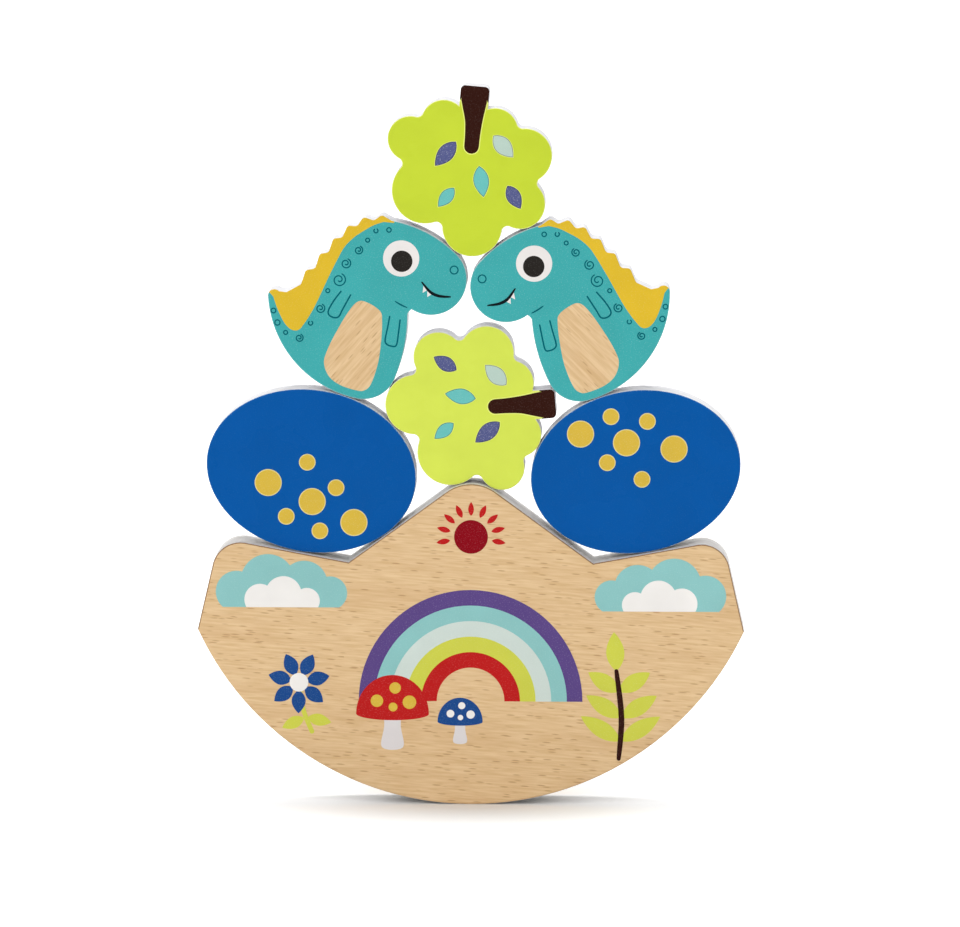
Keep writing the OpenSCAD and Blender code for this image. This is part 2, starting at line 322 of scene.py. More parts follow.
def beech(name, grain_turn, streaked, flecked):
    """Sanded beech: soft grain lines, darker streaks, and the short dark flecks of its rays."""
    material, tree, shader = new_material(name)
    lines = noise(tree, GRAIN_LINE, FINE_DETAIL, grain_turn)
    streaks = noise(tree, GRAIN_STREAK, SOFT_DETAIL, grain_turn)
    colour = mix(tree, remap(tree, lines, GRAIN_LINE_SPAN), BEECH_MID, BEECH_PALE)
    colour = mix(tree, remap(tree, streaks, GRAIN_STREAK_SPAN, (0.0, streaked)), colour, BEECH_DARK)
    cells = {"Vector": stretched(tree, FLECK_CELL, grain_turn), "Scale": 1.0}
    rays = add_node(tree, "ShaderNodeTexVoronoi", cells)
    spots = remap(tree, rays.outputs["Distance"], FLECK_SPAN, (1.0, 0.0))
    chosen = remap(tree, rays.outputs["Color"], FLECK_CHOICE_SPAN, (0.0, flecked))
    colour = mix(tree, combined(tree, "MULTIPLY", spots, chosen), colour, BEECH_FLECK)
    roughness = remap(tree, lines, WOOD_SHEEN_SPAN, WOOD_ROUGHNESS)
    normal = bump(tree, lines, WOOD_BUMP_DEPTH, WOOD_BUMP_STRENGTH)
    tree.links.new(colour, shader.inputs["Base Color"])
    tree.links.new(roughness, shader.inputs["Roughness"])
    tree.links.new(normal, shader.inputs["Normal"])
    shader.inputs["Specular IOR Level"].default_value = WOOD_GLOSS
    return material


# Paint: the sizes of its shifts of tone, its specks and the grain under it, and the noise that shows them
TONE_CLOUD = (16, 16, 16)
TONE_SPAN = (0.3, 0.7)
TONE_SHIFT = 0.015
SPECK = (0.5, 0.5, 0.35)
SPECK_SPAN = (0.58, 0.72)
SPECK_STRENGTH = 3
SPECK_PALENESS = 0.45
PAINT_GRAIN = (14, 6, 0.7)
PAINT_BUMP_DEPTH = 0.02
PAINT_BUMP_STRENGTH = 0.25
PAINT_SHEEN_SPAN = (0.25, 0.75)
SMOOTHER = 0.06
ROUGHER = 0.08


def paint(name, colour, roughness=INK_ROUGHNESS, specks=INK_SPECKS):
    """Ink or paint on sanded wood: slow shifts of tone, fine pale specks, and grain under the film."""
    material, tree, shader = new_material(name)
    clouds = noise(tree, TONE_CLOUD, SOFT_DETAIL)
    darker = shade(colour, 1 - TONE_SHIFT)
    lighter = shade(colour, 1 + TONE_SHIFT)
    tone = mix(tree, remap(tree, clouds, TONE_SPAN), darker, lighter)
    if specks:
        pale = tuple(value + (FULL - value) * SPECK_PALENESS for value in colour)
        dust = noise(tree, SPECK, PLAIN_DETAIL)
        tone = mix(tree, remap(tree, dust, SPECK_SPAN, (0.0, specks * SPECK_STRENGTH)), tone, pale)
    grain = noise(tree, PAINT_GRAIN, SOFT_DETAIL)
    sheen = remap(tree, clouds, PAINT_SHEEN_SPAN, (roughness - SMOOTHER, roughness + ROUGHER))
    normal = bump(tree, grain, PAINT_BUMP_DEPTH, PAINT_BUMP_STRENGTH)
    tree.links.new(tone, shader.inputs["Base Color"])
    tree.links.new(sheen, shader.inputs["Roughness"])
    tree.links.new(normal, shader.inputs["Normal"])
    shader.inputs["Specular IOR Level"].default_value = PAINT_GLOSS
    return material


# Paint on the sides: the size of its streaks, and the noise that shows them
EDGE_STREAK = (5, 3, 5)
EDGE_STREAK_SPAN = (0.45, 0.75)
EDGE_SHEEN_SPAN = (0.3, 0.7)
EDGE_ROUGHNESS = (0.35, 0.55)
EDGE_BUMP_DEPTH = 0.1
EDGE_BUMP_STRENGTH = 0.3


def edge_paint(name, white, grey):
    """White paint rolled over the sawn sides, with grey streaks where it lies thin."""
    material, tree, shader = new_material(name)
    streaks = noise(tree, EDGE_STREAK, FINE_DETAIL)
    colour = mix(tree, remap(tree, streaks, EDGE_STREAK_SPAN), white, grey)
    roughness = remap(tree, streaks, EDGE_SHEEN_SPAN, EDGE_ROUGHNESS)
    normal = bump(tree, streaks, EDGE_BUMP_DEPTH, EDGE_BUMP_STRENGTH)
    tree.links.new(colour, shader.inputs["Base Color"])
    tree.links.new(roughness, shader.inputs["Roughness"])
    tree.links.new(normal, shader.inputs["Normal"])
    return material


# Plane geometry, in each block's own drawing

def turned(point, degrees):
    """A point turned anticlockwise about the origin."""
    angle = math.radians(degrees)
    across = point[0] * math.cos(angle) - point[1] * math.sin(angle)
    up = point[0] * math.sin(angle) + point[1] * math.cos(angle)
    return Vector((across, up))


def polar(centre, radius, degrees):
    """The point at that distance and direction from a centre."""
    return Vector(centre) + turned((radius, 0), degrees)


def direction(centre, point):
    """The direction in which a point lies from a centre."""
    return math.degrees(math.atan2(point.y - centre.y, point.x - centre.x))


def arc(centre, radius, start, stop, points=ROUND_POINTS):
    """Points along an arc, from one direction to another."""
    return [polar(centre, radius, start + (stop - start) * step / points) for step in range(points + 1)]


def disc(centre, radius):
    """A round outline."""
    return [arc(centre, radius, 0, 360)[:-1]]


def ring(centre, radius):
    """A closed ring of ink: its outer and its inner outline."""
    return disc(centre, radius + RING_WIDTH / 2) + disc(centre, radius - RING_WIDTH / 2)


def curve(points, closed=False):
    """A smooth path through the points."""
    points = [Vector(point) for point in points]
    count = len(points)
    path = []
    for index in range(count if closed else count - 1):
        near = []
        for offset in (-1, 0, 1, 2):
            if closed:
                near.append(points[(index + offset) % count])
            else:
                near.append(points[min(max(index + offset, 0), count - 1)])
        before, start, stop, after = near
        for step in range(CURVE_STEPS):
            share = step / CURVE_STEPS
            straight = (stop - before) * share
            bend = (before * 2 - start * 5 + stop * 4 - after) * share ** 2
            twist = (start * 3 - before - stop * 3 + after) * share ** 3
            path.append((start * 2 + straight + bend + twist) / 2)
    if not closed:
        path.append(points[-1])
    return path


def blob(points):
    """A smooth closed outline through the points."""
    return [curve(points, closed=True)]


def round_end(first, second):
    """The points of a half circle between two sides of a line, anticlockwise."""
    centre = (first + second) / 2
    radius = (first - second).length / 2
    start = direction(centre, first)
    return arc(centre, radius, start, start + 180, LINE_END_POINTS)[1:-1]


def stroke(path, width=INK_WIDTH, taper=0.0):
    """A line of ink along an open path, thinner towards its round ends by the taper."""
    last = len(path) - 1
    left = []
    right = []
    for index, point in enumerate(path):
        ahead = (path[min(index + 1, last)] - path[max(index - 1, 0)]).normalized()
        half = width / 2 * (1 - taper * abs(2 * index / last - 1) ** 2)
        left.append(point + ahead.orthogonal() * half)
        right.append(point - ahead.orthogonal() * half)
    tip = round_end(right[-1], left[-1])
    tail = round_end(left[0], right[0])
    return [right + tip + left[::-1] + tail]


# Curls: their turns, their steps a turn, where they start, and how far and how late they wind inwards
CURL_TURNS = 1.5
CURL_STEPS = 24
CURL_START = 60
CURL_DEPTH = 0.8
CURL_LATENESS = 1.5


def curl(centre, radius):
    """A curl of ink that winds inwards."""
    steps = int(CURL_TURNS * CURL_STEPS)
    path = []
    for step in range(steps + 1):
        share = step / steps
        inner = radius * (1 - CURL_DEPTH * share ** CURL_LATENESS)
        path.append(polar(centre, inner, CURL_START - 360 * CURL_TURNS * share))
    return stroke(path, RING_WIDTH)


# Leaves: their steps, how near the foot they are fullest (1 is halfway), and how pointed they are
LEAF_STEPS = 12
LEAF_LEAN = 0.9
LEAF_POINT = 0.85


def leaf(foot, tip, width):
    """A leaf, pointed at both ends and fullest nearer its foot."""
    foot = Vector(foot)
    along = Vector(tip) - foot
    side = along.normalized().orthogonal() * width / 2
    right = []
    left = []
    for step in range(LEAF_STEPS + 1):
        share = step / LEAF_STEPS
        swell = side * math.sin(math.pi * share ** LEAF_LEAN) ** LEAF_POINT
        right.append(foot + along * share - swell)
        left.append(foot + along * share + swell)
    return [right + left[-2:0:-1]]


def inset(loop, amount):
    """An anticlockwise loop moved inwards, or outwards by a negative amount, with mitred corners."""
    moved = []
    for index, point in enumerate(loop):
        before = (point - loop[index - 1]).normalized()
        after = (loop[(index + 1) % len(loop)] - point).normalized()
        inward = before.orthogonal() + after.orthogonal()
        mitre = max(1 + before.dot(after), SHARPEST_MITRE)
        moved.append(point + inward * (amount / mitre))
    return moved


def anticlockwise(loop):
    """The loop in anticlockwise order."""
    area = sum(point.cross(loop[index - 1]) for index, point in enumerate(loop))
    return loop if area < 0 else loop[::-1]


def grown(shapes, amount):
    """Plain outlines grown by an amount, or shrunk by a negative one."""
    return [[inset(anticlockwise(loop), -amount) for loop in shape] for shape in shapes]


# Blocks

def cut_outline(node):
    """A CAD node's outline at mid thickness, in millimetres across and up, in short steps."""
    cut = bmesh.new()
    cut.from_mesh(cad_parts[node].data)
    bmesh.ops.remove_doubles(cut, verts=cut.verts, dist=WELD_DISTANCE * MM)
    everything = cut.verts[:] + cut.edges[:] + cut.faces[:]
    plane = (0, CUT_DEPTH * MM, 0)
    result = bmesh.ops.bisect_plane(cut, geom=everything, plane_co=plane, plane_no=(0, 1, 0))
    edges = [part for part in result["geom_cut"] if isinstance(part, bmesh.types.BMEdge)]
    loop = [edges[0].verts[0]]
    edge = edges[0]
    loop_edges = set(edges)
    while True:
        vertex = edge.other_vert(loop[-1])
        if vertex is loop[0]:
            break
        loop.append(vertex)
        edge = next(other for other in vertex.link_edges if other in loop_edges and other is not edge)
    points = [Vector((vertex.co.x, vertex.co.z)) / MM for vertex in loop]
    cut.free()
    fine = []
    for before, after in zip(points, points[1:] + points[:1]):
        steps = math.ceil((after - before).length / LONGEST_STEP)
        fine += [before.lerp(after, step / steps) for step in range(steps)]
    return fine


def strip(mesh, first, second):
    """Faces between two closed rows of vertices."""
    count = len(first)
    faces = []
    for index in range(count):
        after = (index + 1) % count
        faces.append(mesh.faces.new((first[index], first[after], second[after], second[index])))
    return faces


class Block:
    """One block of the stack: its outline in its own drawing, and its place in the frame."""

    def __init__(self, node, slot, corner, turn=0.0, mirrored=False):
        self.node = node
        self.slot = slot
        self.turn = turn
        self.flip = -1 if mirrored else 1
        low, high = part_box(node)
        self.half = (high.y - low.y) / 2 / MM
        drawn = []
        for point in cut_outline(node):
            straight = turned(point, -turn)
            drawn.append(Vector((straight.x * self.flip, straight.y)))
        lowest = Vector((min(point.x for point in drawn), min(point.y for point in drawn)))
        self.shift = lowest - Vector(corner)
        self.outline = anticlockwise([point - self.shift for point in drawn])

    def placed(self, point, depth):
        """A point of the drawing, at a depth from mid thickness, in the frame."""
        x, up = Vector(point) + self.shift
        standing = turned((x * self.flip, up), self.turn)
        return Vector((standing.x, depth, standing.y)) * MM

    def row(self, mesh, loop, depth):
        """New vertices along a loop of the drawing, at a depth from mid thickness."""
        return [mesh.verts.new(self.placed(point, depth)) for point in loop]

    def run(self, start, stop):
        """The outline's corners from the one nearest a point, anticlockwise, to the one nearest another."""
        count = len(self.outline)
        ends = []
        for end in (start, stop):
            ends.append(min(range(count), key=lambda index: (self.outline[index] - Vector(end)).length))
        length = (ends[1] - ends[0]) % count
        return [(ends[0] + step) % count for step in range(length + 1)]

    def piece(self, name, mesh, materials):
        """A finished mesh as a piece that rides on this block's body."""
        bmesh.ops.recalc_face_normals(mesh, faces=mesh.faces)
        data = bpy.data.meshes.new(name)
        mesh.to_mesh(data)
        mesh.free()
        for material in materials:
            data.materials.append(material)
        made = bpy.data.objects.new(name, data)
        bpy.context.scene.collection.objects.link(made)
        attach(made, self.node)
        return made

    def build(self, rounding, face, highlight, edge, rim=None, rim_run=(), rim_start=0):
        """The block itself: flat faces, rounded rims with a paler band of paint as a painted highlight, and
        sides.

        Another paint may follow part of the rim, from one of its steps on.
        """
        mesh = bmesh.new()
        rim_run = set(rim_run)
        sides = []
        for side in (-1, 1):
            rows = []
            for step in range(ROUNDING_STEPS + 1):
                angle = math.pi / 2 * step / ROUNDING_STEPS
                depth = side * (self.half - rounding * (1 - math.cos(angle)))
                loop = inset(self.outline, rounding * (1 - math.sin(angle)))
                rows.append(self.row(mesh, loop, depth))
            flat = mesh.faces.new(rows[0])
            flat.smooth = False
            for step in range(ROUNDING_STEPS):
                for index, part in enumerate(strip(mesh, rows[step], rows[step + 1])):
                    part.smooth = True
                    if step >= PAINTED_STEPS:
                        part.material_index = EDGE
                    elif index in rim_run and step >= rim_start:
                        part.material_index = RIM
                    # Between the face's paint and the white sides lies a paler band, a painted highlight
                    elif step >= FACE_PAINT_STEPS:
                        part.material_index = PAINTED_HIGHLIGHT
            sides.append(rows[-1])
        for part in strip(mesh, *sides):
            part.smooth = True
            part.material_index = EDGE
        materials = [face, edge, highlight]
        if rim:
            materials.append(rim)
        made = self.piece(f"{self.node}_block", mesh, materials)
        made.data.set_sharp_from_angle(angle=math.radians(SHARP_ANGLE))
        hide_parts(self.node)

    def stamp(self, name, shapes, material, layer):
        """Printed shapes, as thin slabs on the front and the back: one loop is filled, two make a ring."""
        mesh = bmesh.new()
        for shape in shapes:
            for side in (-1, 1):
                uppers = []
                lowers = []
                for loop in shape:
                    uppers.append(self.row(mesh, loop, side * (self.half + PRINT_LIFT * layer)))
                    lowers.append(self.row(mesh, loop, side * (self.half - PRINT_DEPTH)))
                    strip(mesh, uppers[-1], lowers[-1])
                for rows in (uppers, lowers):
                    if len(rows) == 1:
                        mesh.faces.new(rows[0])
                    else:
                        strip(mesh, *rows)
        self.piece(f"{self.node}_{name}", mesh, [material])


# Eggs

LARGE_DOT = 5.2
SMALL_DOT = 3.2
LARGE_DOTS = [(-15.5, -7.3), (2.4, -11.5), (19.6, -16.6)]
SMALL_DOTS = [(-2.1, 3.1), (10.5, -4.6), (-6.4, -18.9), (7.3, -22.1)]
LEFT_PRINT_TURN = 0
RIGHT_PRINT_TURN = -4


def make_egg(node, turn, print_turn, inks, edge):
    """A blue egg with a scatter of gold dots, each with a thin pale rim.

    The print has a turn of its own on top of the egg's.
    """
    block = Block(node, "blue_paint", (-EGG_LENGTH / 2, -EGG_HEIGHT / 2), turn)
    block.build(BLOCK_ROUNDING, inks["blue"], inks["highlight"], edge)
    dots = [disc(turned(centre, print_turn), LARGE_DOT) for centre in LARGE_DOTS]
    dots += [disc(turned(centre, print_turn), SMALL_DOT) for centre in SMALL_DOTS]
    block.stamp("dot_rims", dots, inks["dot_rim"], layer=1)
    block.stamp("dots", grown(dots, -DOT_RIM_WIDTH), inks["dot"], layer=2)


# Trees

# Half the trunk's width at each height, how far its upper part stands aside, and the height that takes
TRUNK_HALVES = [(4.9, -27.4), (4.4, -25.0), (3.35, -19.9), (2.9, -14.7), (2.8, -10.1)]
TRUNK_ASIDE = 0.55
TRUNK_BEND = 8
TRUNK_TOP_POINTS = 12
TRUNK_FOOT = [(-5.6, -27.6), (5.6, -27.6)]

# Each leaf's foot, tip and width
LEAVES = {
    "purple": [((15.6, 3.6), (21.4, 12.0), 5.6), ((-5.5, -11.4), (-12.7, -1.4), 6.2)],
    "mint": [((8.5, -15.0), (16.8, -7.4), 6.4)],
    "aqua": [((4.1, -2.9), (6.9, 8.8), 6.0), ((-4.6, 6.3), (-10.1, 14.1), 5.0)],
}


def trunk_sides():
    """The trunk's sides from its right foot up round its top and down to its left foot."""
    halves = curve(TRUNK_HALVES)
    left = []
    right = []
    for half, up in halves:
        middle = TRUNK_ASIDE * min(1, (up - halves[0].y) / TRUNK_BEND)
        left.append(Vector((middle - half, up)))
        right.append(Vector((middle + half, up)))
    top = arc((TRUNK_ASIDE, halves[-1].y), halves[-1].x, 0, 180, TRUNK_TOP_POINTS)
    return right[:-1] + top + left[-2::-1]


def make_tree(node, turn, mirrored, lime, inks, leaf_inks, edge):
    """A lime tree with a brown trunk and five scattered leaves."""
    block = Block(node, "lime_paint", TREE_CORNER, turn, mirrored)
    foot = block.run(*TRUNK_FOOT)
    # The pale halo lime also goes along the rims, as a painted highlight
    block.build(BLOCK_ROUNDING, lime, inks["halo"], edge, inks["trunk"], foot[:-1])
    face = inset(block.outline, BLOCK_ROUNDING)
    trunk = [face[index] for index in foot] + trunk_sides()
    around = inset(anticlockwise(trunk), -TRUNK_HALO_WIDTH)
    # At its foot the halo follows the block's rim
    wide = [face[index] for index in foot[1:-1]] + around[len(foot) + 1:-1]
    block.stamp("trunk_halo", [[wide]], inks["halo"], layer=1)
    block.stamp("trunk", [[trunk]], inks["trunk"], layer=2)
    every = [leaf(*place) for places in LEAVES.values() for place in places]
    block.stamp("leaf_halos", grown(every, LEAF_HALO_WIDTH), inks["halo"], layer=1)
    for colour, places in LEAVES.items():
        shapes = [leaf(*place) for place in places]
        ink, border = leaf_inks[colour]
        block.stamp(f"{colour}_leaf_borders", shapes, border, layer=2)
        block.stamp(f"{colour}_leaves", grown(shapes, -BORDER_WIDTH), ink, layer=3)


# Dinosaurs

EYE = (17.05, 40.2)
EYE_RADIUS = 6.95
PUPIL = (17.2, 39.1)
PUPIL_RADIUS = 4.1
NOSTRIL = (37.0, 34.5)
NOSTRIL_RADIUS = 1.5
MOUTH = [(24.4, 30.6), (27.3, 26.7), (30.6, 24.9), (34.9, 24.3)]
MOUTH_WIDTH = 1.15
MOUTH_TAPER = 0.55
TEETH = [
    [(24.9, 29.2), (24.4, 26.5), (26.2, 27.4)],
    [(26.2, 27.4), (26.1, 24.8), (28.2, 25.9)],
]
CHEEK = [(13.7, 23.9), (15.7, 22.5), (18.1, 21.2)]
CHEEK_TAPER = 0.5
ARMS = [
    [(-6.8, 29.0), (-10.0, 25.3), (-12.1, 21.9), (-11.8, 20.1), (-9.9, 19.1), (-8.2, 19.5), (-6.6, 22.1),
     (-3.2, 27.4)],
    [(11.2, 18.2), (10.2, 14.2), (8.9, 9.4), (9.4, 7.7), (11.2, 6.8), (13.0, 7.0), (14.0, 10.8),
     (15.1, 16.6)],
]
BELLY = [
    (-0.3, 24.8), (3.6, 23.8), (7.7, 20.5), (8.2, 17.0), (7.5, 10.1), (5.7, 1.0), (2.5, -7.0), (-0.1, -9.4),
    (-3.1, -9.4), (-9.4, -6.9), (-13.5, -3.3), (-15.1, 1.7), (-13.9, 6.0), (-10.3, 12.5), (-4.4, 21.1),
]
CREST_HEAD = (15.2, 54.7)
CREST_TAIL = (-34.3, 30.4)
CREST_INSIDE = [
    (-32.8, 28.6), (-31.7, 24.4), (-30.3, 20.6), (-28.9, 17.8), (-27.1, 15.8), (-25.3, 15.1), (-23.6, 15.5),
    (-21.9, 17.3), (-19.5, 20.4), (-16.5, 25.1), (-11.0, 35.1), (-6.1, 43.4), (-3.8, 46.5), (-0.3, 49.5),
    (4.1, 52.0), (7.5, 53.6), (11.3, 54.6),
]

# Marks on the back: each one's centre and radius, and the directions between which open rings run
RINGS = [
    ((13.1, 51.4), 0.85), ((4.7, 48.0), 0.75), ((-11.8, 29.6), 0.75), ((-29.0, 14.6), 0.75),
    ((-31.9, 18.6), 1.0), ((-33.1, 23.3), 0.9),
]
OPEN_RINGS = [((8.1, 51.4), 0.8), ((-19.2, 17.6), 0.8)]
OPEN_RING_SPAN = (130, 410)
CURLS = [
    ((1.0, 44.4), 1.6), ((-4.2, 39.6), 1.9), ((-7.2, 33.5), 2.5), ((-15.1, 23.0), 1.75),
    ((-23.9, 12.2), 1.5),
]


def open_ring(centre, radius):
    """A ring of ink with a gap."""
    return stroke(arc(centre, radius, *OPEN_RING_SPAN, SMALL_ARC_POINTS), RING_WIDTH)


def make_dinosaur(node, turn, mirrored, inks, edge, belly_wood):
    """A teal dinosaur with a gold crest, a bare wood belly, and ink lines for its features."""
    block = Block(node, "teal_paint", DINOSAUR_CORNER, turn, mirrored)
    back = block.run(CREST_HEAD, CREST_TAIL)
    block.build(BLOCK_ROUNDING, inks["dino_teal"], inks["highlight_teal"], edge, inks["crest_gold"], back[:-1])
    face = inset(block.outline, BLOCK_ROUNDING)
    crest = [face[index] for index in back] + curve(CREST_INSIDE)
    block.stamp("crest", [[crest]], inks["crest_gold"], layer=1)
    block.stamp("belly", [blob(BELLY)], belly_wood, layer=1)
    lines = [ring(*place) for place in RINGS]
    lines += [open_ring(*place) for place in OPEN_RINGS]
    lines += [curl(*place) for place in CURLS]
    lines += [stroke(curve(path)) for path in ARMS]
    lines.append(stroke(curve(CHEEK), INK_WIDTH, CHEEK_TAPER))
    lines.append(ring(NOSTRIL, NOSTRIL_RADIUS))
    block.stamp("ink_lines", lines, inks["ink_teal"], layer=1)
    teeth = [[[Vector(point) for point in tooth]] for tooth in TEETH]
    block.stamp("teeth", teeth, inks["eye_white"], layer=1)
    block.stamp("mouth", [stroke(curve(MOUTH), MOUTH_WIDTH, MOUTH_TAPER)], inks["ink_black"], layer=2)
    block.stamp("eye", [disc(EYE, EYE_RADIUS)], inks["eye_white"], layer=1)
    block.stamp("pupil", [disc(PUPIL, PUPIL_RADIUS)], inks["pupil"], layer=2)


# The rocking base's picture

# Rainbow: its bands from the outside in
RAINBOW_CENTRE = (0, 40)
RAINBOW_RADIUS = 43
RAINBOW_BANDS = ("purple", "aqua", "mint", "lime", "red")
BAND_WIDTH = 6


def print_rainbow(block, inks):
    """A rainbow of half rings."""
    for index, name in enumerate(RAINBOW_BANDS):
        outer = RAINBOW_RADIUS - index * BAND_WIDTH
        inner = outer - BAND_WIDTH
        band = arc(RAINBOW_CENTRE, outer, 0, 180) + arc(RAINBOW_CENTRE, inner, 180, 0)
        block.stamp(f"rainbow_{name}", [[band]], inks[name], layer=1)


# Sun: its rays run between two distances from its edge
SUN = (0, 103.5)
SUN_RADIUS = 6.5
SUN_RAYS = 9
FIRST_RAY = -10
RAYS_SPREAD = 200
RAY_START = 1.6
RAY_END = 7
RAY_WIDTH = 2.2


def print_sun(block, inks):
    """A low sun with pointed rays above the rainbow."""
    rays = []
    for index in range(SUN_RAYS):
        angle = FIRST_RAY + index * RAYS_SPREAD / (SUN_RAYS - 1)
        start = polar(SUN, SUN_RADIUS + RAY_START, angle)
        end = polar(SUN, SUN_RADIUS + RAY_END, angle)
        rays.append(leaf(start, end, RAY_WIDTH))
    block.stamp("sun_rays", rays, inks["red"], layer=1)
    block.stamp("sun", [disc(SUN, SUN_RADIUS)], inks["dark_red"], layer=1)


# Each cloud's puffs from left to right, as centre and radius, and the height of its flat underside
CLOUD_BACK = [((-18, 2), 8), ((-6, 6), 10.5), ((8, 5), 9), ((18, 1.5), 6.5)]
CLOUD_FRONT = [((-9, -1), 6), ((0, 1), 7), ((9, -1.5), 5)]
CLOUD_UNDERSIDE = -4
LEFT_CLOUD = (-72, 80)
RIGHT_CLOUD = (72, 79)


def puff_foot(puff, side):
    """Where a puff's edge meets the cloud's underside, on its right or left side."""
    centre, radius = puff
    reach = math.sqrt(radius ** 2 - (CLOUD_UNDERSIDE - centre.y) ** 2)
    return Vector((centre.x + side * reach, CLOUD_UNDERSIDE))


def puff_crossing(left, right):
    """The upper point where the edges of two puffs cross."""
    left_centre, left_radius = left
    right_centre, right_radius = right
    gap = right_centre - left_centre
    along = (left_radius ** 2 - right_radius ** 2 + gap.length_squared) / (2 * gap.length)
    rise = math.sqrt(left_radius ** 2 - along ** 2)
    return left_centre + gap.normalized() * along + gap.normalized().orthogonal() * rise


def cloud(puffs, place, flip):
    """A cloud's outline: a flat underside, and the tops of its puffs from right to left."""
    puffs = [(Vector(centre), radius) for centre, radius in puffs]
    ends = [puff_foot(puffs[-1], 1)]
    for right, left in zip(puffs[:0:-1], puffs[-2::-1]):
        ends.append(puff_crossing(left, right))
    ends.append(puff_foot(puffs[0], -1))
    loop = []
    for (centre, radius), start, stop in zip(puffs[::-1], ends, ends[1:]):
        first = direction(centre, start)
        last = direction(centre, stop)
        if last < first:
            last += 360
        loop += arc(centre, radius, first, last, SMALL_ARC_POINTS)[:-1]
    loop.append(ends[-1])
    return [[Vector((point.x * flip + place[0], point.y + place[1])) for point in loop]]


def print_clouds(block, inks):
    """A cloud on each shoulder, pale in front and aqua behind."""
    for name, place, flip in (("left", LEFT_CLOUD, 1), ("right", RIGHT_CLOUD, -1)):
        block.stamp(f"{name}_cloud_back", [cloud(CLOUD_BACK, place, flip)], inks["aqua"], layer=1)
        block.stamp(f"{name}_cloud_front", [cloud(CLOUD_FRONT, place, flip)], inks["white"], layer=2)


# Fern: its stem by steps from its foot, and its leaves, which are shorter towards the tip
FERN_FOOT = (57, 18)
FERN_STEM = [(0, 0), (1, 16), (-1, 34)]
FERN_STEM_WIDTH = 2.2
FERN_STEM_TAPER = 0.3
FERN_TIP = (-1, 15)
FERN_TIP_WIDTH = 7
FERN_PAIRS = 3
FERN_LOWEST_PAIR = 0.25
FERN_LEAF_LENGTH = 20
FERN_LEAF_SHRINK = 8
FERN_LEAF_WIDTH = 6.4
FERN_LEAF_ANGLE = 58


def print_fern(block, inks):
    """A fern with paired leaves up a brown stem."""
    stem = curve([Vector(FERN_FOOT) + Vector(offset) for offset in FERN_STEM])
    leaves = [leaf(stem[-1], stem[-1] + Vector(FERN_TIP), FERN_TIP_WIDTH)]
    for index in range(FERN_PAIRS):
        share = FERN_LOWEST_PAIR + (1 - FERN_LOWEST_PAIR) * index / FERN_PAIRS
        start = stem[int(share * (len(stem) - 1))]
        length = FERN_LEAF_LENGTH - FERN_LEAF_SHRINK * share
        for side in (-1, 1):
            tip = polar(start, length, 90 - side * FERN_LEAF_ANGLE)
            leaves.append(leaf(start, tip, FERN_LEAF_WIDTH))
    block.stamp("fern_leaves", leaves, inks["lime"], layer=2)
    block.stamp("fern_stem", [stroke(stem, FERN_STEM_WIDTH, FERN_STEM_TAPER)], inks["brown"], layer=3)


# Flower: its heart's radius, its stem by steps from its centre, and its petals
FLOWER = (-66, 47)
FLOWER_HEART = 3.6
FLOWER_STEM = [(0, 0), (1.5, -10), (5, -19)]
FLOWER_STEM_WIDTH = 1.8
PETALS = 7
FIRST_PETAL = 12
PETAL_START = 3
PETAL_END = 12
PETAL_WIDTH = 5.4

# The two leaves spring from one point of the stem
FLOWER_LEAF_JOINT = 8
FLOWER_LEAF_ANGLES = (205, -12)
FLOWER_LEAF_START = 0.7
FLOWER_LEAF_END = 10
FLOWER_LEAF_WIDTH = 4.6


def print_flower(block, inks):
    """A blue flower on a lime stem with two leaves."""
    stem = curve([Vector(FLOWER) + Vector(offset) for offset in FLOWER_STEM])
    petals = []
    for index in range(PETALS):
        angle = 360 * index / PETALS + FIRST_PETAL
        petals.append(leaf(polar(FLOWER, PETAL_START, angle), polar(FLOWER, PETAL_END, angle), PETAL_WIDTH))
    joint = stem[FLOWER_LEAF_JOINT]
    leaves = []
    for angle in FLOWER_LEAF_ANGLES:
        start = polar(joint, FLOWER_LEAF_START, angle)
        leaves.append(leaf(start, polar(joint, FLOWER_LEAF_END, angle), FLOWER_LEAF_WIDTH))
    block.stamp("flower_leaves", leaves, inks["lime"], layer=1)
    block.stamp("flower_stem", [stroke(stem, FLOWER_STEM_WIDTH)], inks["lime"], layer=2)
    block.stamp("flower_petals", petals, inks["blue"], layer=3)
    block.stamp("flower_heart", [disc(FLOWER, FLOWER_HEART)], inks["white"], layer=4)


# Each toadstool's name, foot, size, and inks of its cap and its dots
TOADSTOOLS = [("tall", (-30, 22), 1.0, "red", "gold"), ("short", (-4, 24), 0.62, "blue", "white")]

# The toadstool of size 1: its stem's outline, its cap, and its dots by centre and radius
TOADSTOOL_STEM = [(-4, 0), (4, 0), (3.2, 8), (2.8, 16), (-2.8, 16), (-3.2, 8)]
TOADSTOOL_DOTS = [((-6, 18), 2.4), ((1, 23), 2.2), ((6.5, 17.5), 2.6), ((0.2, 15.6), 1.7)]
CAP_HALF = 14
CAP_BRIM = 13
CAP_RISE = 15
CAP_SAG = 2.5
CAP_STEPS = 24


